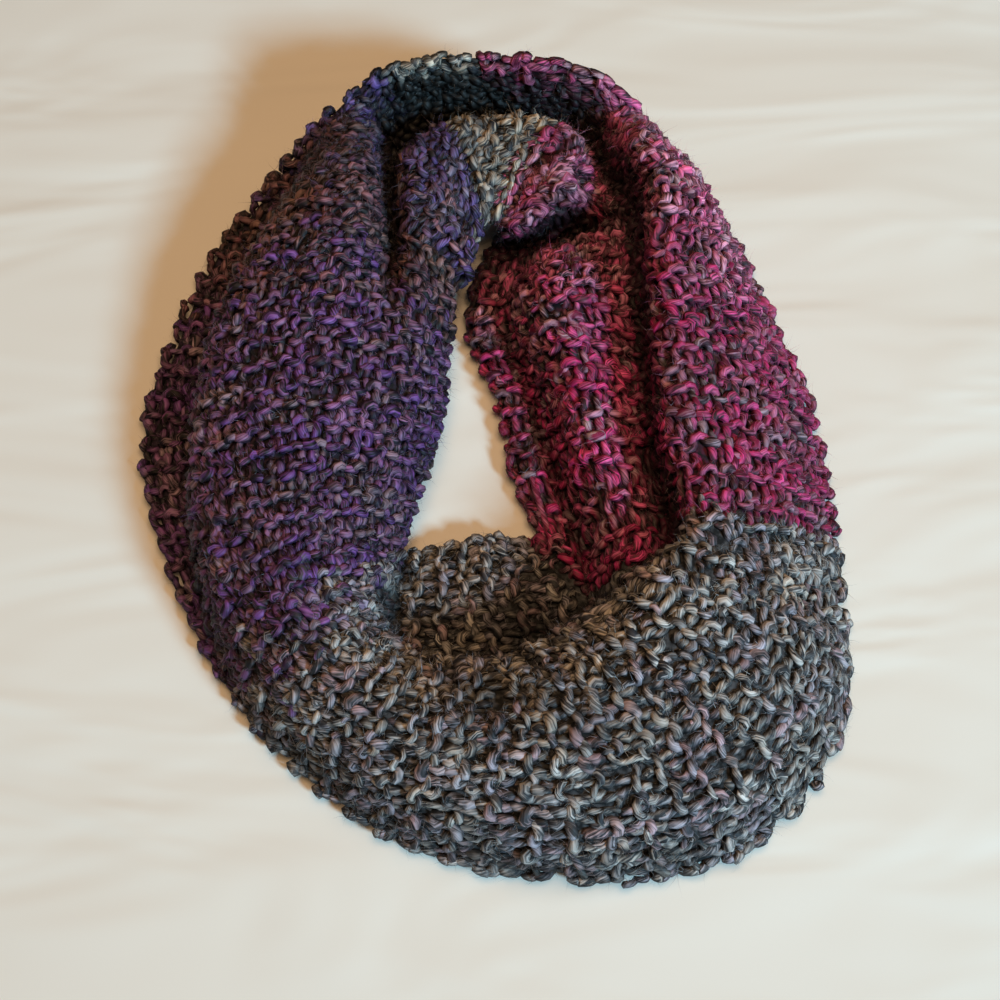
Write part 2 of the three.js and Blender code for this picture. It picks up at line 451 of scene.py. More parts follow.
@dataclass
class SkyView:
    """How open the fabric lies under the folds around it, read off a map of heights.

    Attributes:
        surfaces: The surfaces that make up the heap.
        cell: Width of a cell of the map.
        edge: Half the width of the map.
        reaches: How far off the folds around a point are looked for.
        bearings: Directions to look in.
        cover: A point this far under the heap's top lies under another fold.
        tuck: A point this far below a fold right beside it starts to take its painted shade.
        tucked: A point this much further below it takes full painted shade.
        shut: Share of the sky at which a point takes full painted shade.
        clear: Share of the sky at which it takes no painted shade.
        deep: Brightness of the painted shade in the deepest fold.
    """

    surfaces: tuple[BandSurface, ...]
    cell: float = 3 * MM
    edge: float = 300 * MM
    reaches: tuple[float, ...] = (4 * MM, 7 * MM, 11 * MM, 16 * MM)
    bearings: int = 12
    cover: float = 9 * MM
    tuck: float = 18 * MM
    tucked: float = 14 * MM
    shut: float = 0.25
    clear: float = 0.65
    deep: float = 0.1
    heights: Numbers = field(init=False)

    def __post_init__(self) -> None:
        """Draw the map of heights."""
        count = int(2 * self.edge / self.cell)
        self.heights = np.zeros((count, count))
        for surface in self.surfaces:
            points = surface.points.reshape(-1, 3)
            np.maximum.at(self.heights, self._cells(points[:, :2]), points[:, 2])

    def _cells(self, plan: Numbers) -> tuple[Counts, Counts]:
        """Return the map's cells under places in plan."""
        cells = np.clip((plan + self.edge) / self.cell, 0, len(self.heights) - 1).astype(int)
        return cells[..., 0], cells[..., 1]

    def brightness(self, points: Numbers) -> Numbers:
        """Tell how bright the folds' painted shade leaves the fabric, from the deepest fold's up to 1.

        Args:
            points: Places on the fabric's middle surface.

        Returns:
            The brightness at each place.
        """
        plan, height = points[:, :2], points[:, 2]
        seen = np.zeros(len(points))
        beside = np.zeros(len(points))
        for turn in np.arange(self.bearings) * 360 / self.bearings:
            rises = [self.heights[self._cells(plan + heading(turn) * far)] - height for far in self.reaches]
            slope = np.maximum(np.max([rise / far for rise, far in zip(rises, self.reaches)], axis=0), 0)
            seen += (1 - slope / np.hypot(1, slope)) / self.bearings
            beside = np.maximum(beside, np.maximum(rises[0], rises[1]))
        seen[self.heights[self._cells(plan)] - height > self.cover] = 0
        lit = np.clip((seen - self.shut) / (self.clear - self.shut), 0, 1)
        lit = lit * np.clip(1 - (beside - self.tuck) / self.tucked, 0, 1)
        return self.deep + (1 - self.deep) * smooth(lit)


@dataclass(frozen=True)
class Gauge:
    """How the scarf is knitted.

    Attributes:
        stitches: Stitches across the band.
        ridge: Length round the loop that one ridge of two rows takes, at its outer panel.
        relaxed_ridge: The same with the fabric off the needles and unstretched.
        stitch: Width of a stitch, unstretched.
        least_ridge: Where ridges would crowd closer than this, every other one ends.
        halvings: How often the ridges can halve in number.
        panel: Where across the band the ridges are evenly spaced, as a share of it.
        yarn_radius: Radius of the yarn.
        row_offset: How far each row lies from its ridge's middle, as a share of the ridge.
        loop_reach: How far a loop's head and foot reach, as a share of the ridge.
        loop_lean: How far a loop's neck draws in, as a share of the stitch.
        loop_depth: How far the yarn weaves to the front and the back.
        loop_flat: How far heads and feet are flattened, which lengthens what shows of them.
        weaves: Times that the yarn passes to the front and back in a stitch.
        ridge_rise: How far ridges rise and valleys sink.
        sink: How near the ground the middle of the yarn may lie, in its radii.
        hem_knob: How far the yarn's turns stand past a hem, in stitches.
        hem_lift: How far off the middle surface it turns at the outer hem.
        hem_drop: The same at the inner hem.
        short_drop: The same where a row ends inside the fabric.
        steps: Points of the yarn's path in a stitch.
        sides: Sides of the yarn.
        buried: Nearer the middle surface than this, yarn is painted in full shade.
        exposed: Further from it than this, yarn takes no painted shade.
        shade: Brightness of the painted shade on buried yarn.
        back: Yarn this far behind the middle surface takes none of the face's painted shade and light.
    """

    stitches: int = 21
    ridge: float = 13.2 * MM
    relaxed_ridge: float = 11.5 * MM
    stitch: float = 10.7 * MM
    least_ridge: float = 9.0 * MM
    halvings: int = 3
    panel: float = 0.72
    yarn_radius: float = 2.15 * MM
    row_offset: float = 0.25
    loop_reach: float = 0.4
    loop_lean: float = 0.15
    loop_depth: float = 1.8 * MM
    loop_flat: float = 0.04
    weaves: int = 3
    ridge_rise: float = 1.2 * MM
    sink: float = 0.85
    hem_knob: float = 0.22
    hem_lift: float = 1.2 * MM
    hem_drop: float = 0.8 * MM
    short_drop: float = -2.5 * MM
    steps: int = 16
    sides: int = 6
    buried: float = 0.2 * MM
    exposed: float = 3.2 * MM
    shade: float = 0.1
    back: float = 2.7 * MM

    def brightness(self, height: Numbers) -> Numbers:
        """Tell how bright the painted shade leaves yarn at a height off the middle surface.

        Args:
            height: The height, above or below the surface.

        Returns:
            From the shade of buried yarn up to 1.
        """
        lit = np.clip((np.abs(height) - self.buried) / (self.exposed - self.buried), 0, 1)
        return self.shade + (1 - self.shade) * smooth(lit)


GAUGE = Gauge()


@dataclass(frozen=True)
class Handwork:
    """How unevenly the yarn is spun and knitted, as spreads about the even stitch.

    Attributes:
        stitch: Shift across the band, in stitches.
        loop: Change of a loop's reach, as a share of it.
        swing: Shift round the loop, in ridges.
        lift: Shift off the middle surface.
        thick: Slow change of the yarn's thickness, as a share of it.
        thick_run: Stitches between two turns of the slow change.
        slub: Quick change of the yarn's thickness, as a share of it.
        slub_run: Points of the path between two turns of the quick change.
        thinnest: Least thickness, as a share of the yarn's own.
        thickest: Greatest thickness, as a share of it.
    """

    stitch: float = 0.09
    loop: float = 0.2
    swing: float = 0.1
    lift: float = 0.8 * MM
    thick: float = 0.16
    thick_run: float = 1.3
    slub: float = 0.1
    slub_run: float = 5
    thinnest: float = 0.7
    thickest: float = 1.35


HAND = Handwork()


class Row(Enum):
    """The two rows of a ridge, by the part of the loop that stands out on the face."""

    HEADS = -1
    FEET = 1


@dataclass(frozen=True)
class YarnColours:
    """The colours twisted into one length of marled yarn.

    Attributes:
        lights: Colours of the lighter ply.
        darks: Colours of the darker ply.
    """

    lights: tuple[str, ...]
    darks: tuple[str, ...]


class Dye(Enum):
    """The yarn's dye lots, in the order that they come off the ball."""

    RASPBERRY = YarnColours(
        ("c63674", "d04784", "b02a60", "a85c78", "8e7680", "be5080"),
        ("420822", "280412", "681034", "341a26", "801640"),
    )
    DUSTY_RASPBERRY = YarnColours(
        ("c25482", "b66884", "c68a9e", "a4828a", "cc6c92", "b84a72"),
        ("52142c", "340c1c", "682640", "40282f"),
    )
    PALE_GREY = YarnColours(
        ("b4a898", "a39889", "c0b4a2", "8e8882", "a6917c"),
        ("34383e", "1e2226", "4c4642", "282b32"),
    )
    INK_PURPLE = YarnColours(
        ("6c5288", "765f8e", "5a427e", "7b6f7e"),
        ("12101c", "1a1426", "0c0b10", "201828"),
    )
    PURPLE = YarnColours(
        ("804e80", "8c6088", "6e4486", "8e747e", "825876", "74468a"),
        ("160a1a", "200f28", "0c070e", "281428", "180c12"),
    )
    BROWN_PURPLE = YarnColours(
        ("80525c", "8e5e66", "6e4854", "7e5e58", "90686e"),
        ("160a0c", "200e12", "0e0809", "261418"),
    )
    GREY = YarnColours(
        ("aaa4a0", "bcb6b0", "96928e", "a098a2", "b4a89c", "b09298"),
        ("2c2b2f", "3a393e", "1b1c20", "464241", "32353c"),
    )


class ColourStop(NamedTuple):
    """A place round the loop, counted in sections, and the dye of the yarn there."""

    place: float
    dye: Dye


COLOUR_RUN: tuple[ColourStop, ...] = (
    ColourStop(-0.03, Dye.GREY),
    ColourStop(0.03, Dye.RASPBERRY),
    ColourStop(2.2, Dye.RASPBERRY),
    ColourStop(3.3, Dye.DUSTY_RASPBERRY),
    ColourStop(6.52, Dye.DUSTY_RASPBERRY),
    ColourStop(6.68, Dye.PALE_GREY),
    ColourStop(7.5, Dye.PALE_GREY),
    ColourStop(7.7, Dye.INK_PURPLE),
    ColourStop(9.2, Dye.BROWN_PURPLE),
    ColourStop(10.2, Dye.PURPLE),
    ColourStop(12.6, Dye.PURPLE),
    ColourStop(13.6, Dye.GREY),
    ColourStop(18.97, Dye.GREY),
)


class DyeLead(NamedTuple):
    """How far the colours of one change run ahead of its place at LEAD_SHARES, in sections."""

    place: float
    inner: float
    middle: float
    outer: float


LEAD_SHARES = (0.38, 0.5, 0.8)  # where across the band a lead's three figures hold
LEAD_REACH = 0.8  # how far from its place a lead dies out, in sections
DYE_LEADS: tuple[DyeLead, ...] = (
    DyeLead(0, 0.8, -0.15, 0.0),
    DyeLead(13, 0.1, 0.0, -0.25),
)


def dye_place(place: float, share: Numbers) -> Numbers:
    """Find the place in the run of colours that dyes each point of a row.

    Args:
        place: The row's place round the loop, counted in sections.
        share: Where across the band each point lies, from 0 to 1.

    Returns:
        The places in the run of colours.
    """
    dyed = np.full(len(share), float(place))
    half = len(SECTIONS) / 2
    for lead in DYE_LEADS:
        off = (place - lead.place + half) % (2 * half) - half
        dyed += math.exp(-((off / LEAD_REACH) ** 2)) * np.interp(share, LEAD_SHARES, lead[1:])
    return dyed


class Shade(NamedTuple):
    """A spot where the fabric shows darker than its dye with painted shade, and lighter with painted light.

    Attributes:
        name: What the spot is.
        place: Its middle round the loop, in sections.
        reach: How far from there it dies out, in sections.
        share: Its middle across the band, from 0 to 1.
        width: How far across the band it dies out.
        brightness: Brightness at its middle.
    """

    name: str
    place: float
    reach: float
    share: float
    width: float
    brightness: float


# Painted shade under the rim, in the creases and in the front's hollow, and painted light on the rim and the
# raspberry panels; the lower purple is only made darker.
PAINTED_SPOTS: tuple[Shade, ...] = (
    Shade("under the rim", 7.0, 1.6, 0.8, 0.17, 0.12),
    Shade("rim", 6.6, 1.6, 1.0, 0.05, 1.9),
    Shade("crease behind the lip", 16.5, 1.2, 0.23, 0.09, 0.1),
    Shade("raspberry middle panel", 1.2, 1.5, 0.25, 0.2, 1.45),
    Shade("raspberry crest, high", 4.3, 1.2, 0.78, 0.25, 1.8),
    Shade("purple, low", 12.4, 1.2, 0.6, 0.5, 0.85),
    Shade("hollow in the front", 15.4, 0.6, 0.6, 0.07, 0.5),
    Shade("crease in the front", 16.3, 0.7, 0.66, 0.04, 0.65),
)


def painted_spot_shading(place: float, share: Numbers) -> Numbers:
    """Tell how bright the listed spots' painted shade and light leave the fabric along a row, next to its
    dye.

    Args:
        place: The row's place round the loop, counted in sections.
        share: Where across the band each point lies, from 0 to 1.

    Returns:
        The brightness at each point.
    """
    bright = np.ones(len(share))
    for shade in PAINTED_SPOTS:
        near = ((place - shade.place) / shade.reach) ** 2 + ((share - shade.share) / shade.width) ** 2
        bright *= 1 + (shade.brightness - 1) * np.exp(-near)
    return bright


@dataclass
class Dyer:
    """Gives every length of yarn its two ply colours.

    Attributes:
        rng: The source of randomness.
        knot: Points of the yarn's path between two changes of a ply's colour.
        uneven: Least and greatest such length, as a share of it.
        strength: Least and greatest brightness of a colour, as a share of its own.
    """

    rng: np.random.Generator
    knot: float = 14.0
    uneven: tuple[float, float] = (0.4, 1.7)
    strength: tuple[float, float] = (0.8, 1.2)

    def plies(self, place: Numbers) -> tuple[Numbers, Numbers]:
        """Dye the two plies along one row.

        Args:
            place: Where round the loop each point of the row lies, counted in sections.

        Returns:
            The lighter and the darker ply's colour at each point.
        """
        return self._ply(place, "lights"), self._ply(place, "darks")

    def _ply(self, place: Numbers, ply: str) -> Numbers:
        """Dye one ply, changing colour at uneven lengths.

        Args:
            place: Where round the loop each point lies.
            ply: The field of YarnColours to draw from.

        Returns:
            The ply's colour at each point.
        """
        knots = [0.0]
        while knots[-1] < len(place):
            knots.append(knots[-1] + self.knot * self.rng.uniform(*self.uneven))
        at = np.minimum(np.array(knots).astype(int), len(place) - 1)
        colours = np.array([self._pick(place[i], ply) for i in at])
        run = np.arange(len(place))
        return np.stack([np.interp(run, knots, colours[:, axis]) for axis in range(3)], axis=-1)

    def _pick(self, place: float, ply: str) -> Numbers:
        """Pick a colour from the dyes on either side of a place, more often from the nearer.

        Args:
            place: The place round the loop, counted in sections.
            ply: The field of YarnColours to draw from.

        Returns:
            The colour, in linear light.
        """
        first, last = COLOUR_RUN[0].place, COLOUR_RUN[-1].place
        place = (place - first) % len(SECTIONS) + first
        after = next(i for i, stop in enumerate(COLOUR_RUN) if stop.place >= min(place, last))
        before = COLOUR_RUN[max(after - 1, 0)]
        span = max(COLOUR_RUN[after].place - before.place, 1e-6)
        turn = self.rng.random() < (place - before.place) / span
        colours = getattr((COLOUR_RUN[after] if turn else before).dye.value, ply)
        picked = linear(colours[self.rng.integers(len(colours))])
        return picked * self.rng.uniform(*self.strength)


@dataclass
class RowPath:
    """One row of stitches as a path of yarn.

    Attributes:
        path: The yarn's centre line.
        normal: The fabric's normal at each point.
        lift: How far off the middle surface each point lies.
        radius: The yarn's radius at each point.
        light: The lighter ply's colour at each point, with painted shade and light in it.
        dark: The darker ply's colour at each point, with painted shade and light in it.
        row: Which row of its ridge it is.
    """

    path: Numbers
    normal: Numbers
    lift: Numbers
    radius: Numbers
    light: Numbers
    dark: Numbers
    row: Row


@dataclass
class TubeBundle:
    """Many tubes of yarn gathered into one mesh.

    Attributes:
        sides: Sides of each tube.
        cap: How far a tube's rounded end stands out, in its radii.
    """

    sides: int
    cap: float = 0.6
    vertices: list[Numbers] = field(default_factory=list)
    faces: list[Counts] = field(default_factory=list)
    turns: list[Numbers] = field(default_factory=list)
    lights: list[Numbers] = field(default_factory=list)
    darks: list[Numbers] = field(default_factory=list)
    count: int = 0
    reeled: float = 0.0

    def add(self, laid: RowPath) -> None:
        """Add one row of yarn as a tube, closed at both ends, with its seam underneath.

        Args:
            laid: The row.
        """
        path, radius = laid.path, laid.radius
        tangent = unit(np.gradient(path, axis=0))
        across = unit(np.cross(tangent, -laid.normal))
        ring = rings(np.cross(across, tangent), across, self.sides)
        points = path[:, None] + ring * radius[:, None, None]
        points[..., 2] = np.maximum(points[..., 2], CLEARANCE)
        count = len(path)
        ends = [path[end] + side * tangent[end] * radius[end] * self.cap for end, side in ((0, -1), (-1, 1))]
        first = self.count
        i, j = np.meshgrid(np.arange(count - 1), np.arange(self.sides), indexing="ij")
        near = first + i * self.sides + j
        turn = first + i * self.sides + (j + 1) % self.sides
        quads = np.stack([near, turn, turn + self.sides, near + self.sides], axis=-1).reshape(-1, 4)
        length = run_length(path) + self.reeled
        u = (j / self.sides).reshape(-1)
        u1 = ((j + 1) / self.sides).reshape(-1)
        v = length[i].reshape(-1)
        v1 = length[i + 1].reshape(-1)
        corners = np.stack([u, v, u1, v, u1, v1, u, v1], axis=-1).reshape(-1, 4, 2)
        start = first + count * self.sides
        k = np.arange(self.sides)
        k1 = (k + 1) % self.sides
        head = np.stack([np.full(self.sides, start), first + k1, first + k], axis=-1)
        base = first + (count - 1) * self.sides
        tail = np.stack([np.full(self.sides, start + 1), base + k, base + k1], axis=-1)
        self.vertices += [points.reshape(-1, 3), np.stack(ends)]
        self.faces += [quads, head, tail]
        flat = np.zeros((self.sides, 3, 2))
        flat[..., 0] = (k / self.sides)[:, None]
        self.turns.append(corners.reshape(-1, 2))
        self.turns += [(flat + [0, length[end]]).reshape(-1, 2) for end in (0, -1)]
        self.reeled = length[-1]
        # Painted shade: yarn that dips deep among the stitches is darkened in both ply colours.
        height = laid.lift[:, None] + radius[:, None] * (ring * laid.normal[:, None]).sum(axis=-1)
        shade = GAUGE.brightness(height).reshape(-1, 1)
        for store, colour in ((self.lights, laid.light), (self.darks, laid.dark)):
            store += [np.repeat(colour, self.sides, axis=0) * shade, colour[[0, -1]] * shade[[0, -1]]]
        self.count += count * self.sides + 2

    def finished(self, name: str) -> bpy.types.Object:
        """Make the mesh, with its ply colours, painted shade in them, and its yarn map.

        Args:
            name: The piece's name.

        Returns:
            The new object.
        """
        piece = mesh_piece(name, np.concatenate(self.vertices), self.faces)
        mesh = piece.data
        layer = mesh.uv_layers.new(name="yarn")
        layer.data.foreach_set("uv", np.concatenate(self.turns).astype(np.float32).ravel())
        paint(mesh, "light_ply", np.concatenate(self.lights))
        paint(mesh, "dark_ply", np.concatenate(self.darks))
        return piece


def mesh_piece(name: str, vertices: Numbers, faces: list[Counts]) -> bpy.types.Object:
    """Make a smooth-shaded mesh object from arrays.

    Args:
        name: The piece's name.
        vertices: The corners' places.
        faces: Arrays of faces, each with one count of corners.

    Returns:
        The new object, linked to the scene.
    """
    mesh = bpy.data.meshes.new(name)
    corners = np.concatenate([block.ravel() for block in faces]).astype(np.int32)
    sizes = np.concatenate([np.full(len(block), block.shape[1]) for block in faces])
    starts = np.concatenate([[0], np.cumsum(sizes)[:-1]]).astype(np.int32)
    mesh.vertices.add(len(vertices))
    mesh.vertices.foreach_set("co", vertices.astype(np.float32).ravel())
    mesh.loops.add(len(corners))
    mesh.loops.foreach_set("vertex_index", corners)
    mesh.polygons.add(len(sizes))
    mesh.polygons.foreach_set("loop_start", starts)
    mesh.update(calc_edges=True)
    mesh.validate()
    mesh.shade_smooth()
    piece = bpy.data.objects.new(name, mesh)
    bpy.context.scene.collection.objects.link(piece)
    return piece


def paint(mesh: bpy.types.Mesh, name: str, colours: Numbers) -> None:
    """Store a colour at every vertex of a mesh.

    Args:
        mesh: The mesh.
        name: The name that the materials read the colours by.
        colours: The colours, one a row.
    """
    layer = mesh.attributes.new(name, "FLOAT_COLOR", "POINT")
    full = np.concatenate([colours, np.ones((len(colours), 1))], axis=1)
    layer.data.foreach_set("color", full.astype(np.float32).ravel())


@dataclass(frozen=True)
class BackingForm:
    """The thin sheet behind the stitches, which closes the gaps between them.

    Attributes:
        rings_per_section: Rings of the sheet between two sections.
        fewest_rings: Rings that a short stretch has at least.
        columns: Points from hem to hem.
        margin: How far it stays inside the hems, in stitches.
        sunk: How far it lies behind the middle surface.
        half: Half its thickness.
    """

    rings_per_section: int = 10
    fewest_rings: int = 8
    columns: int = 64
    margin: float = 0.4
    sunk: float = 0.8 * MM
    half: float = 0.7 * MM


BACKING = BackingForm()


@dataclass
class Stretch:
    """One stretch of the loop in one colour of yarn: its backing, its rows and its fuzz.

    Attributes:
        node: The stretch's node.
        slot: The stretch's yarn name, from which its backing's material is named.
        start: Where it starts round the loop, counted in sections.
        end: Where it ends.
        surface: The fabric's middle surface.
        sky: How open the fabric lies, which sets its painted shade.
        seed: Seed of its randomness.
        deep: The darkest colour of the painted shade between its stitches, on its backing.
        pale: The palest one.
        samples: Points along the outer panel that the ridges are spaced by.
        ease: Grid points across the band that the end of a ridge's neighbour is eased over.
    """

    node: str
    slot: str
    start: float
    end: float
    surface: BandSurface
    sky: SkyView
    seed: int
    deep: str
    pale: str
    samples: int = 400
    ease: int = 9
    rows: list[RowPath] = field(default_factory=list)
    ridges: int = 0

    def knit(self) -> None:
        """Lay out every row of yarn."""
        rng = np.random.default_rng(self.seed)
        dyer = Dyer(rng)
        for place, step, rank in self._ridge_places():
            for row in Row:
                self.rows.append(self._row(place, step, rank, row, rng, dyer))

    def _ridge_places(self) -> list[tuple[float, float, int]]:
        """Space the ridges evenly along the outer panel.

        Returns:
            Each ridge's place, the step to the next in sections, and its rank: the more often
            it can be halved, the further in it runs where ridges crowd.
        """
        fine = np.linspace(self.start, self.end, self.samples)
        panel, _ = self.surface.sample(fine, np.full(self.samples, GAUGE.panel))
        run = run_length(panel)
        self.ridges = max(2, round(run[-1] / GAUGE.ridge))
        edges = np.interp(np.linspace(0, run[-1], self.ridges + 1), run, fine)
        halvings = range(1, GAUGE.halvings + 1)
        ranks = [sum(k % 2**halving == 0 for halving in halvings) for k in range(self.ridges)]
        ranks[-1] = ranks[0]
        return list(zip((edges[1:] + edges[:-1]) / 2, np.diff(edges), ranks))

    def _row(
        self, place: float, step: float, rank: int, row: Row, rng: np.random.Generator, dyer: Dyer
    ) -> RowPath:
        """Lay one row of loops across the band.

        Args:
            place: The ridge's place round the loop.
            step: The step from ridge to ridge, in sections.
            rank: How far in the ridge may run.
            row: Which row of the ridge.
            rng: The source of randomness.
            dyer: Dyes the yarn.

        Returns:
            The row's path.
        """
        crowd = self._crowding(place, step)
        shares = np.linspace(0, 1, len(crowd))
        first = self._first_stitch(crowd, rank)
        turn = np.arange((GAUGE.stitches - first) * GAUGE.steps + 1) / GAUGE.steps * 2 * math.pi - math.pi
        count, half = len(turn), GAUGE.steps / 2
        lean = GAUGE.loop_lean * np.sin(2 * turn)
        stitch = first + 0.5 + turn / (2 * math.pi) + lean
        stitch = stitch + HAND.stitch * wander(rng, count, half)
        loop = np.cos(turn) * GAUGE.loop_reach * (1 + HAND.loop * wander(rng, count, half))
        swing = row.value * GAUGE.row_offset + loop + HAND.swing * wander(rng, count, half)
        phase = GAUGE.weaves * (turn - GAUGE.loop_flat * np.sin(2 * turn))
        weave = -row.value * GAUGE.loop_depth * np.cos(phase)
        rise = GAUGE.ridge_rise * np.cos(2 * math.pi * swing)
        lift = weave + rise + HAND.lift * wander(rng, count, half)
        stitch, swing, lift = self._hooked(stitch, swing, lift, row, first > 0)
        across = stitch / GAUGE.stitches
        reach = step * np.interp(across, shares, crowd)
        at = place + swing * reach
        points, normal = self.surface.sample(at, across)
        thick = 1 + HAND.thick * wander(rng, len(at), HAND.thick_run * GAUGE.steps)
        thick = thick + HAND.slub * wander(rng, len(at), HAND.slub_run)
        radius = GAUGE.yarn_radius * np.clip(thick, HAND.thinnest, HAND.thickest)
        path = points + normal * lift[:, None]
        path[:, 2] = np.maximum(path[:, 2], radius * GAUGE.sink)
        # The folds' painted shade, and the listed spots' painted shade and light on the face alone, go into
        # both ply colours.
        front = np.clip(1 + lift / GAUGE.back, 0, 1)
        bright = (self.sky.brightness(points) * (1 + (painted_spot_shading(place, across) - 1) * front))[:, None]
        light, dark = (ply * bright for ply in dyer.plies(dye_place(place, across)))
        return RowPath(path, normal, lift, radius, light, dark, row)

    def _crowding(self, place: float, step: float) -> Numbers:
        """Tell how many ridge steps each ridge takes across the band, once others have ended.

        Args:
            place: The ridge's place round the loop.
            step: The step from ridge to ridge, in sections.

        Returns:
            One, two, four or eight at each grid point across, eased from one to the next.
        """
        pitch = self.surface.spacing(place) * step
        wanted = np.ceil(np.log2(GAUGE.least_ridge / np.maximum(pitch, 1e-6)))
        halvings = np.clip(wanted, 0, GAUGE.halvings)
        ended = np.maximum.accumulate(halvings[::-1])[::-1]
        blur = np.ones(self.ease) / self.ease
        return 2 ** np.convolve(np.pad(ended, self.ease // 2, mode="edge"), blur, mode="valid")

    def _first_stitch(self, crowd: Numbers, rank: int) -> int:
        """Find where a ridge begins, if the others crowd it out on the inner side.

        Args:
            crowd: How many ridge steps each ridge takes across the band.
            rank: How far in the ridge may run.

        Returns:
            The ridge's first stitch, counted from the inner hem.
        """
        allowed = np.log2(crowd) <= rank + 0.5
        blocked = np.flatnonzero(~allowed)
        if rank == GAUGE.halvings or len(blocked) == 0:
            return 0
        return min(GAUGE.stitches - 2, math.ceil(blocked[-1] / (len(crowd) - 1) * GAUGE.stitches))

    def _hooked(
        self, stitch: Numbers, swing: Numbers, lift: Numbers, row: Row, short: bool
    ) -> tuple[Numbers, Numbers, Numbers]:
        """Turn the yarn round at both hems, as it goes on into the next row.

        Args:
            stitch: Where across the band each point lies, in stitches.
            swing: Where round the loop each point lies, in ridges from the ridge's middle.
            lift: How far off the middle surface each point lies.
            row: Which row of the ridge.
            short: Whether the row ends inside the fabric.

        Returns:
            The three again, with the turns added and the half loops at the ends left out.
        """
        quarter = GAUGE.steps // 4
        stitch, swing, lift = (run[quarter:-quarter] for run in (stitch, swing, lift))
        angle = np.linspace(0, math.pi / 2, 5)[1:]
        knob = GAUGE.hem_knob * np.sin(angle)
        ease = 1 - np.cos(angle)
        outer = (stitch[-1] + knob, swing[-1] * (1 - ease), lift[-1] * (1 - ease) + GAUGE.hem_lift * ease)
        goal = row.value * 2 * GAUGE.row_offset
        drop = GAUGE.short_drop if short else GAUGE.hem_drop
        inner = (stitch[0] - knob, swing[0] + (goal - swing[0]) * ease, lift[0] + (drop - lift[0]) * ease)
        runs = zip(inner, (stitch, swing, lift), outer)
        return tuple(np.concatenate([begin[::-1], run, end]) for begin, run, end in runs)

    def yarn(self, row: Row) -> bpy.types.Object:
        """Make the yarn of every heads row or every feet row.

        Args:
            row: Which rows.

        Returns:
            The new object.
        """
        bundle = TubeBundle(GAUGE.sides)
        for laid in self.rows:
            if laid.row is row:
                bundle.add(laid)
        return bundle.finished(f"{self.node}_{row.name.lower()}")

    def backing(self) -> bpy.types.Object:
        """Make the thin sheet behind the stitches.

        Returns:
            The new object, a closed wall.
        """
        form = BACKING
        count = max(form.fewest_rings, round((self.end - self.start) * form.rings_per_section))
        place = np.linspace(self.start, self.end, count + 1)
        share = np.linspace(form.margin, GAUGE.stitches - form.margin, form.columns) / GAUGE.stitches
        at, over = np.meshgrid(place, share, indexing="ij")
        points, normal = self.surface.sample(at, over)
        middle = points - normal * form.sunk
        sides = np.concatenate([middle + normal * form.half, (middle - normal * form.half)[:, ::-1]], axis=1)
        sides[..., 2] = np.maximum(sides[..., 2], CLEARANCE)
        size = 2 * form.columns
        i, j = np.meshgrid(np.arange(count), np.arange(size), indexing="ij")
        a = i * size + j
        b = i * size + (j + 1) % size
        wall = np.stack([a, a + size, b + size, b], axis=-1).reshape(-1, 4)
        k = np.arange(form.columns - 1)
        start = np.stack([k, k + 1, size - 2 - k, size - 1 - k], axis=-1)
        end = (start + count * size)[:, ::-1]
        return mesh_piece(f"{self.node}_backing", sides.reshape(-1, 3), [wall, start, end])

    def fuzz(self, per_row: int) -> bpy.types.Object:
        """Make the loose fibres that stand off the yarn.

        Args:
            per_row: Fibres on each row.

        Returns:
            The new object.
        """
        rng = np.random.default_rng(self.seed + 1)
        fibres = FibreBundle(rng)
        for laid in self.rows:
            fibres.grow(laid, per_row)
        return fibres.finished(f"{self.node}_fuzz")


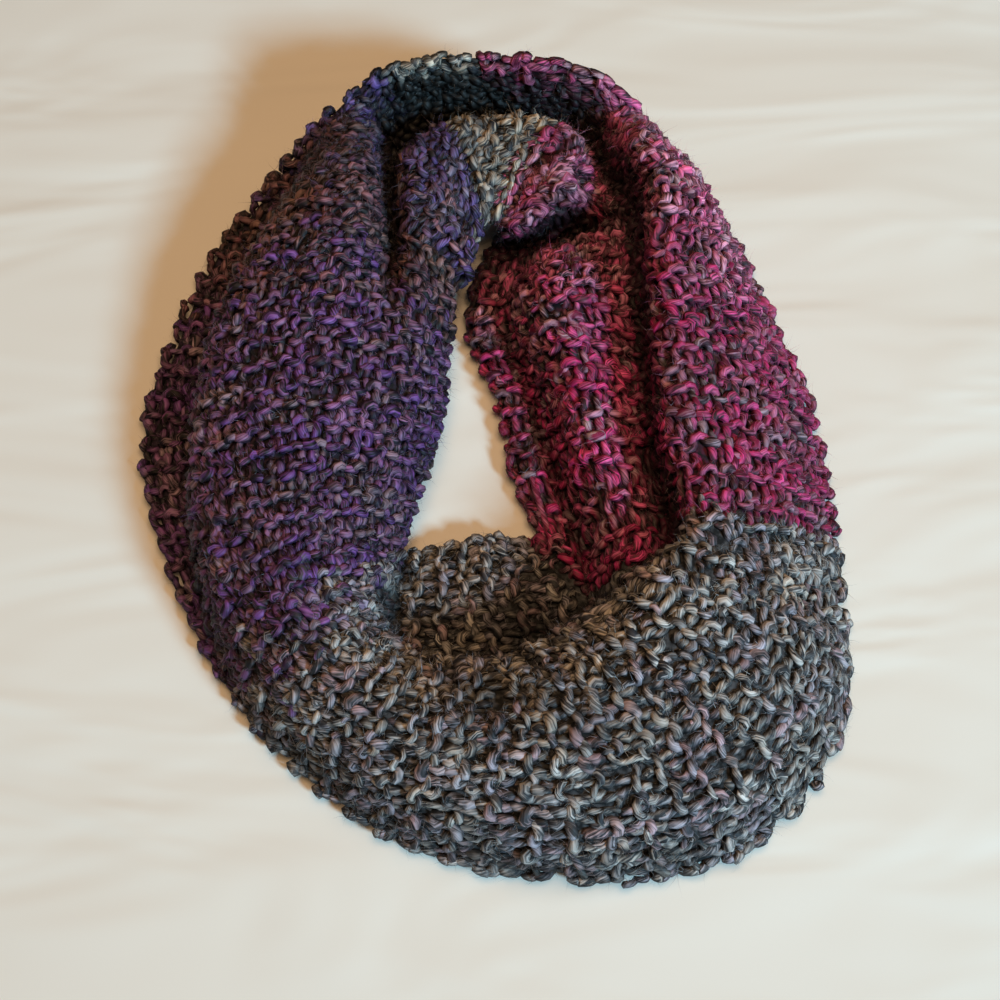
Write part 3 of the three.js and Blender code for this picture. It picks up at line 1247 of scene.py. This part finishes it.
@dataclass
class FibreBundle:
    """Loose fibres gathered into one mesh.

    Attributes:
        rng: The source of randomness.
        radius: A fibre's radius at its root.
        joints: Points along a fibre.
        sides: Sides of a fibre.
        facing: How strongly fibres favour the face of the fabric.
        rooted: Where in the yarn a fibre starts, as a share of its radius.
        outward: Least and greatest share of its course that leads off the yarn.
        along: Spread of the share of its course that follows the yarn.
        shortest: Length of the shortest fibre.
        longest: Length of the longest.
        bunch: Shape and scale of the spread of lengths.
        curl: How far a fibre's tip bends aside, as a share of its length.
        tip: Radius at the last joint, as a share of the root's.
        bright: Brightness of a fibre next to its yarn, painted lighter so that the fuzz shows lit.
    """

    rng: np.random.Generator
    radius: float = 0.1 * MM
    joints: int = 3
    sides: int = 3
    facing: float = 0.9
    rooted: float = 0.92
    outward: tuple[float, float] = (0.1, 0.8)
    along: float = 0.9
    shortest: float = 1.5 * MM
    longest: float = 8 * MM
    bunch: tuple[float, float] = (3.0, 1.2 * MM)
    curl: float = 0.6
    tip: float = 0.35
    bright: float = 1.5
    lines: list[Numbers] = field(default_factory=list)
    colours: list[Numbers] = field(default_factory=list)

    def grow(self, laid: RowPath, count: int) -> None:
        """Grow fibres from random places on one row of yarn.

        Args:
            laid: The row.
            count: How many fibres.
        """
        rng = self.rng
        column = (count, 1)
        at = rng.integers(1, len(laid.path) - 1, count)
        tangent = unit(laid.path[at + 1] - laid.path[at - 1])
        spread = unit(rng.normal(size=(count, 3)) + self.facing * laid.normal[at])
        out = unit(spread - tangent * (spread * tangent).sum(1, keepdims=True))
        root = laid.path[at] + out * laid.radius[at, None] * self.rooted
        off = out * rng.uniform(*self.outward, column)
        ahead = unit(off + tangent * rng.normal(0, self.along, column))
        bend = unit(rng.normal(size=(count, 3)))
        length = np.minimum(rng.gamma(*self.bunch, column) + self.shortest, self.longest)
        share = np.linspace(0, 1, self.joints)[None, :, None]
        line = root[:, None] + (ahead * length)[:, None] * share
        line = line + (bend * length * self.curl)[:, None] * share**2
        line[..., 2] = np.maximum(line[..., 2], CLEARANCE)
        self.lines.append(line)
        # A fibre takes its yarn's colours with their painted shade, painted lighter by bright.
        mix = rng.uniform(0, 1, column)
        self.colours.append((laid.light[at] * mix + laid.dark[at] * (1 - mix)) * self.bright)

    def finished(self, name: str) -> bpy.types.Object:
        """Make the mesh: each fibre a thin tube that tapers to a point.

        Args:
            name: The piece's name.

        Returns:
            The new object.
        """
        lines = np.concatenate(self.lines)
        colours = np.concatenate(self.colours)
        tangent = unit(lines[:, -1] - lines[:, 0])
        askew = np.array([0.31, 0.47, 0.83])  # a direction that hardly any fibre runs in
        across = unit(np.cross(tangent, askew))
        ring = rings(np.cross(across, tangent), across, self.sides)
        taper = np.linspace(1, self.tip, self.joints - 1)[None, :, None, None] * self.radius
        body = lines[:, :-1, None] + ring[:, None] * taper
        count = len(lines)
        per = (self.joints - 1) * self.sides + 1
        vertices = np.concatenate([body.reshape(count, -1, 3), lines[:, -1:]], axis=1)
        vertices[..., 2] = np.maximum(vertices[..., 2], CLEARANCE / 2)
        base = np.arange(count)[:, None] * per
        blocks: list[Counts] = []
        for joint in range(self.joints - 2):
            for side in range(self.sides):
                near = joint * self.sides + side
                turn = joint * self.sides + (side + 1) % self.sides
                blocks.append(base + np.array([near, turn, turn + self.sides, near + self.sides]))
        last = (self.joints - 2) * self.sides
        for side in range(self.sides):
            blocks.append(base + np.array([last + side, last + (side + 1) % self.sides, per - 1]))
        blocks.append(base + np.arange(self.sides)[::-1])
        piece = mesh_piece(name, vertices.reshape(-1, 3), blocks)
        paint(piece.data, "light_ply", np.repeat(colours, per, axis=0))
        return piece


class NodeNet:
    """A node tree, with short ways to add nodes and wire them."""

    def __init__(self, tree: bpy.types.NodeTree) -> None:
        """Keep the tree."""
        self.tree = tree

    def feed(self, value: Feed, socket: bpy.types.NodeSocket) -> None:
        """Wire another socket to a socket, or give it a plain value.

        Args:
            value: The value or the other socket.
            socket: The input that takes it.
        """
        if isinstance(value, bpy.types.NodeSocket):
            self.tree.links.new(value, socket)
        else:
            socket.default_value = value

    def add(self, kind: str, values: dict[str, Feed] | None = None, **settings: object) -> bpy.types.Node:
        """Add a node.

        Args:
            kind: The node's type.
            values: Input names, each with a value or a socket to wire to it.
            **settings: The node's own properties.

        Returns:
            The node.
        """
        node = self.tree.nodes.new(kind)
        for name, value in settings.items():
            setattr(node, name, value)
        for name, value in (values or {}).items():
            self.feed(value, node.inputs[name])
        return node

    def maths(self, operation: str, *values: Feed) -> bpy.types.NodeSocket:
        """Add a maths node.

        Args:
            operation: What it does.
            *values: Its inputs, numbers or sockets.

        Returns:
            Its result.
        """
        node = self.add("ShaderNodeMath", operation=operation)
        for socket, value in zip(node.inputs, values):
            self.feed(value, socket)
        return node.outputs[0]

    def ranged(self, value: Feed, source: Span, target: Span = (0.0, 1.0)) -> bpy.types.NodeSocket:
        """Map a value from one span to another, and hold it inside that.

        Args:
            value: The value.
            source: The span it comes from.
            target: The span it is mapped to.

        Returns:
            The mapped value.
        """
        (low, high), (first, last) = source, target
        ends = {"From Min": low, "From Max": high, "To Min": first, "To Max": last}
        return self.add("ShaderNodeMapRange", {"Value": value, **ends}).outputs["Result"]

    def noise(self, place: Feed, scale: float, detail: float = 2.0) -> bpy.types.NodeSocket:
        """Add noise, and return it from 0 to 1."""
        values = {"Vector": place, "Scale": scale, "Detail": detail}
        return self.add("ShaderNodeTexNoise", values).outputs["Fac"]

    def mixed(self, share: Feed, first: Feed, second: Feed) -> bpy.types.NodeSocket:
        """Mix two colours.

        Args:
            share: How much of the second goes in.
            first: The first colour.
            second: The second colour.

        Returns:
            The mix.
        """
        node = self.add("ShaderNodeMix", {"Factor": share}, data_type="RGBA")
        colours = [socket for socket in node.inputs if socket.type == "RGBA"]
        for socket, value in zip(colours, (first, second)):
            self.feed(value, socket)
        return next(socket for socket in node.outputs if socket.type == "RGBA")


class Finish:
    """A material, its nodes and its shader."""

    def __init__(self, name: str, **values: Feed) -> None:
        """Make the material.

        Args:
            name: The material's name.
            **values: The shader's plain inputs, with an underscore for each space.
        """
        self.material = bpy.data.materials.new(name)
        self.material.use_nodes = True
        self.net = NodeNet(self.material.node_tree)
        self.shader = self.material.node_tree.nodes["Principled BSDF"]
        for socket, value in values.items():
            self.feed(value, socket.replace("_", " "))

    def feed(self, value: Feed, socket: str) -> None:
        """Feed one of the shader's inputs."""
        self.net.feed(value, self.shader.inputs[socket])

    def relief(self, height: Feed, strength: float, depth: float) -> None:
        """Raise the surface a little where a height is great.

        Args:
            height: The height, from 0 to 1.
            strength: How strongly it shows.
            depth: The height that 1 stands for.
        """
        values = {"Height": height, "Strength": strength, "Distance": depth}
        self.feed(self.net.add("ShaderNodeBump", values).outputs["Normal"], "Normal")


@dataclass(frozen=True)
class MarlGroup:
    """The marled twist of two plies, as a shader group that every yarn shares.

    Attributes:
        twist: Turns of the fibres in a metre of yarn.
        streaks: Streaks of fibre round the yarn, and along a metre of it.
        patches: Patches of one ply round the yarn, and along a metre of it.
        weight: How much the streaks count in the mix of the plies, next to the patches.
        mix: Where in that mix the dark ply ends and the light one begins.
        grain: The span of the streaks' noise that their brightness follows.
        glow: Brightness of the dullest streak and of the brightest.
        side: How near to the yarn's side its painted shade begins, as a cosine.
        side_shade: Brightness of that painted shade at the very side.
        rough: Roughness of the deepest streak and of the highest.
        name: The group's name.
    """

    twist: float = 45.0
    streaks: Span = (16.0, 70.0)
    patches: Span = (2.2, 210.0)
    weight: float = 0.7
    mix: Span = (0.73, 0.98)
    grain: Span = (0.3, 0.7)
    glow: Span = (0.5, 1.5)
    side: float = 0.85
    side_shade: float = 0.2
    rough: Span = (0.75, 0.4)
    name: str = "marl_twist"

    def made(self) -> bpy.types.NodeTree:
        """Build the group.

        Returns:
            The group, which puts out Colour, Height and Roughness.
        """
        group = bpy.data.node_groups.new(self.name, "ShaderNodeTree")
        for way, kind, sockets in (
            ("INPUT", "NodeSocketColor", ("Light", "Dark")),
            ("OUTPUT", "NodeSocketColor", ("Colour",)),
            ("OUTPUT", "NodeSocketFloat", ("Height", "Roughness")),
        ):
            for socket in sockets:
                group.interface.new_socket(socket, in_out=way, socket_type=kind)
        net = NodeNet(group)
        inputs = net.add("NodeGroupInput").outputs
        chart = net.add("ShaderNodeUVMap", uv_map="yarn")
        parts = net.add("ShaderNodeSeparateXYZ", {"Vector": chart.outputs["UV"]})
        around, along = parts.outputs["X"], parts.outputs["Y"]
        streak = self._noise(net, around, along, self.streaks)
        patch = self._noise(net, around, along, self.patches)
        share = net.ranged(net.maths("MULTIPLY_ADD", streak, self.weight, patch), self.mix)
        colour = net.mixed(share, inputs["Dark"], inputs["Light"])
        # Painted shade: the colour darkens towards the yarn's sides, where it meets its neighbours.
        facing = net.maths("ABSOLUTE", net.maths("COSINE", net.maths("MULTIPLY", around, 2 * math.pi)))
        edge = net.ranged(facing, (0.0, self.side), (self.side_shade, 1.0))
        shade = net.maths("MULTIPLY", net.ranged(streak, self.grain, self.glow), edge)
        shaded = net.add("ShaderNodeVectorMath", {"Scale": shade}, operation="SCALE")
        net.feed(colour, shaded.inputs[0])
        rough = net.ranged(streak, (0.0, 1.0), self.rough)
        net.add("NodeGroupOutput", {"Colour": shaded.outputs["Vector"], "Height": streak, "Roughness": rough})
        return group

    def _noise(self, net: NodeNet, around: Feed, along: Feed, grains: Span) -> bpy.types.NodeSocket:
        """Draw noise that follows the twist and has no seam round the yarn.

        Args:
            net: The group's nodes.
            around: How far round the yarn, in turns.
            along: How far along the yarn, in metres.
            grains: How many grains of noise go round the yarn, and along a metre of it.

        Returns:
            The noise, from 0 to 1.
        """
        turned = net.maths("MULTIPLY_ADD", along, self.twist, around)
        angle = net.maths("MULTIPLY", turned, 2 * math.pi)
        reach = grains[0] / (2 * math.pi)
        place = {
            "X": net.maths("MULTIPLY", net.maths("COSINE", angle), reach),
            "Y": net.maths("MULTIPLY", net.maths("SINE", angle), reach),
            "Z": net.maths("MULTIPLY", along, grains[1]),
        }
        return net.noise(net.add("ShaderNodeCombineXYZ", place).outputs["Vector"], 1.0)


@dataclass(frozen=True)
class YarnFinish:
    """Marled, slightly silky yarn.

    Attributes:
        strength: How strongly the streaks stand out.
        relief: Their height.
        specular: How much the yarn shines.
    """

    strength: float = 0.9
    relief: float = 0.45 * MM
    specular: float = 0.35

    def made(self, marl: bpy.types.NodeTree) -> bpy.types.Material:
        """Build the material.

        Args:
            marl: The shared twist.

        Returns:
            The material.
        """
        finish = Finish("marled_yarn", Specular_IOR_Level=self.specular)
        plies = {
            socket: finish.net.add("ShaderNodeAttribute", attribute_name=name).outputs["Color"]
            for socket, name in (("Light", "light_ply"), ("Dark", "dark_ply"))
        }
        twist = finish.net.add("ShaderNodeGroup", plies, node_tree=marl).outputs
        finish.feed(twist["Colour"], "Base Color")
        finish.feed(twist["Roughness"], "Roughness")
        finish.relief(twist["Height"], self.strength, self.relief)
        return finish.material


@dataclass(frozen=True)
class FuzzFinish:
    """Loose fibres, in the colour of the yarn that they stand off.

    Attributes:
        roughness: How dull a fibre is.
        sheen: How much it glows at its edge.
    """

    roughness: float = 0.6
    sheen: float = 0.3

    def made(self) -> bpy.types.Material:
        """Build the material.

        Returns:
            The material.
        """
        finish = Finish("loose_fibre", Roughness=self.roughness, Sheen_Weight=self.sheen)
        light = finish.net.add("ShaderNodeAttribute", attribute_name="light_ply")
        finish.feed(light.outputs["Color"], "Base Color")
        return finish.material


@dataclass(frozen=True)
class BackingFinish:
    """A dark sheet painted as the shade inside the knit, seen only between the stitches.

    Attributes:
        name: The material's name.
        deep: The darkest colour of that painted shade.
        pale: Its palest colour.
        grain: Flecks in a metre.
        fleck: The span of the noise from the darkest colour to the palest.
        strength: How strongly the flecks stand out.
        relief: Their height.
        roughness: How dull it is.
    """

    name: str
    deep: str
    pale: str
    grain: float = 320.0
    fleck: Span = (0.42, 0.72)
    strength: float = 0.6
    relief: float = 0.6 * MM
    roughness: float = 0.95

    def made(self) -> bpy.types.Material:
        """Build the material.

        Returns:
            The material.
        """
        finish = Finish(self.name, Roughness=self.roughness)
        noise = finish.net.noise(finish.net.add("ShaderNodeTexCoord").outputs["Object"], self.grain)
        ends = ((*linear(colour), 1) for colour in (self.deep, self.pale))
        finish.feed(finish.net.mixed(finish.net.ranged(noise, self.fleck), *ends), "Base Color")
        finish.relief(noise, self.strength, self.relief)
        return finish.material


@dataclass(frozen=True)
class FloorFinish:
    """The pale sheet, with soft creases that run aslant.

    Attributes:
        colour: Its colour.
        roughness: How dull it is.
        turn: The creases' turn from the front, in degrees.
        narrow: How many times longer a crease is than it is wide.
        scale: Creases in a metre.
        distortion: How much they bend.
        strength: How strongly they stand out.
        relief: Their height.
    """

    colour: str = "f2ece0"
    roughness: float = 0.9
    turn: float = -40.0
    narrow: float = 3.2
    scale: float = 5.0
    distortion: float = 0.6
    strength: float = 0.55
    relief: float = 12 * MM

    def made(self) -> bpy.types.Material:
        """Build the material.

        Returns:
            The material.
        """
        finish = Finish("pale_floor", Base_Color=(*linear(self.colour), 1), Roughness=self.roughness)
        place = finish.net.add("ShaderNodeTexCoord").outputs["Object"]
        turned = {"Vector": place, "Rotation": (0, 0, math.radians(self.turn)), "Scale": (1, self.narrow, 1)}
        aslant = finish.net.add("ShaderNodeMapping", turned).outputs["Vector"]
        values = {"Vector": aslant, "Scale": self.scale, "Distortion": self.distortion}
        creases = finish.net.add("ShaderNodeTexNoise", values)
        finish.relief(creases.outputs["Fac"], self.strength, self.relief)
        return finish.material


@dataclass
class Scarf:
    """The whole loop: four stretches on one middle surface.

    Attributes:
        cad_low: The lowest corner of the solids.
        cad_high: Their highest corner.
    """

    cad_low: Numbers
    cad_high: Numbers
    stretches: list[Stretch] = field(init=False)
    shift: Numbers = field(init=False)

    def __post_init__(self) -> None:
        """Set out the surface where the solids are, and the stretches on it."""
        loop = BandSurface()
        lip = BandSurface(flaps=LIP_START)
        walls = [grid.points + grid.normals * HALF_WALL * side for grid in (loop, lip) for side in (1, -1)]
        reach = np.concatenate([wall.reshape(-1, 3) for wall in walls])
        middle = (reach.min(axis=0) + reach.max(axis=0)) / 2
        self.shift = (self.cad_low + self.cad_high) / 2 - middle
        self.shift[2] = 0
        for grid in (loop, lip):
            grid.move(self.shift)
        sky = SkyView((loop, lip))
        # Each stretch's last two colours are the darkest and palest painted shade on its backing.
        self.stretches = [
            Stretch("raspberry_right", "raspberry_yarn", 0, 6.6, loop, sky, 11, "10040a", "501430"),
            Stretch("grey_top", "pale_grey_yarn", 6.6, 7.6, loop, sky, 23, "0c0c0e", "4a4642"),
            Stretch("purple_left", "purple_yarn", 7.6, 13, loop, sky, 37, "08060a", "38243c"),
            Stretch("grey_front", "dark_grey_yarn", 13, 19, lip, sky, 51, "0a0a0b", "48484a"),
        ]

    def build(self) -> None:
        marl = MarlGroup().made()
        yarn = YarnFinish().made(marl)
        fibre = FuzzFinish().made()
        for stretch in self.stretches:
            stretch.knit()
            backing = stretch.backing()
            # The backing's material is painted shade for the gaps between the stitches.
            inside = BackingFinish(stretch.slot.replace("_yarn", "_inside"), stretch.deep, stretch.pale)
            dress(backing, inside.made())
            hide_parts(stretch.node)
            rows = [stretch.yarn(row) for row in Row]
            for piece in rows:
                dress(piece, yarn)
            fuzz = stretch.fuzz(FIBRES_PER_ROW)
            dress(fuzz, fibre)


def dress(piece: bpy.types.Object, material: bpy.types.Material) -> None:
    """Give a piece its material and its place on the scarf's body.

    Args:
        piece: The piece.
        material: Its material.
    """
    piece.data.materials.append(material)
    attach(piece, "root")
    LOG.info("%s: %d faces", piece.name, len(piece.data.polygons))


class SoftBox(NamedTuple):
    """One square light, turned to the scarf.

    Attributes:
        name: The light's name.
        place: Where it hangs.
        size: Its width.
        power: Its power in watts.
        colour: Its colour.
    """

    name: str
    place: Vector
    size: float
    power: float
    colour: str


SOFT_BOXES = (
    SoftBox("window", Vector((2.22, -2.04, 1.95)), 0.6, 142.0, "aae0ff"),
    SoftBox("lamp", Vector((0.1, 0.0, 1.5)), 1.0, 13.0, "ffd2a2"),
)


@dataclass
class Studio:
    """The pale floor, the soft light and the camera.

    Attributes:
        aim: The point that the camera looks at.
        distance: How far the camera stands from it.
        elevation: Its height over the horizon, in degrees.
        half_view: Half the width of what it sees at the aim.
        floor_size: Width of the floor.
        room_colour: Colour of the dim light from all round.
        room_strength: Strength of that light.
    """

    aim: Vector
    distance: float = 660 * MM
    elevation: float = 66.0
    half_view: float = 250 * MM
    floor_size: float = 6.0
    room_colour: str = "ffdcb8"
    room_strength: float = 0.06

    def build(self) -> None:
        """Set the whole studio."""
        self._floor()
        self._lights()
        self._camera()

    def _floor(self) -> None:
        """Lay the floor."""
        bpy.ops.object.select_all(action="DESELECT")
        bpy.ops.mesh.primitive_plane_add(size=self.floor_size)
        floor = bpy.context.object
        floor.name = "floor"
        floor.data.materials.append(FloorFinish().made())
        floor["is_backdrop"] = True

    def _lights(self) -> None:
        """Hang the cool light from the lower right and the warm one overhead, in a dim room."""
        for box in SOFT_BOXES:
            bpy.ops.object.light_add(type="AREA", location=box.place)
            light = bpy.context.object
            light.name = box.name
            light.data.size = box.size
            light.data.energy = box.power
            light.data.color = tuple(linear(box.colour))
            light.rotation_euler = self._facing(box.place)
        world = bpy.data.worlds.new("room")
        bpy.context.scene.world = world
        world.use_nodes = True
        background = world.node_tree.nodes["Background"]
        background.inputs["Color"].default_value = (*linear(self.room_colour), 1)
        background.inputs["Strength"].default_value = self.room_strength

    def _facing(self, place: Vector) -> Euler:
        """Return the turn that makes a light or a camera at a place look at the aim."""
        return (self.aim - place).to_track_quat("-Z", "Y").to_euler()

    def _camera(self) -> None:
        """Stand the camera in front, looking down."""
        angle = math.radians(self.elevation)
        place = self.aim + Vector((0, -math.cos(angle), math.sin(angle))) * self.distance
        bpy.ops.object.camera_add(location=place)
        camera = bpy.context.object
        camera.rotation_euler = self._facing(place)
        camera.data.angle = 2 * math.atan(self.half_view / self.distance)
        bpy.context.scene.camera = camera


def main() -> None:
    """Build the scarf and its studio."""
    logging.basicConfig(level=logging.INFO, format="%(message)s")
    cad_low, cad_high = (np.array(corner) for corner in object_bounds())
    scarf = Scarf(cad_low, cad_high)
    scarf.build()
    Studio(Vector(scarf.shift)).build()
    bpy.context.scene.view_settings.view_transform = "Standard"


if __name__ == "__main__":
    main()
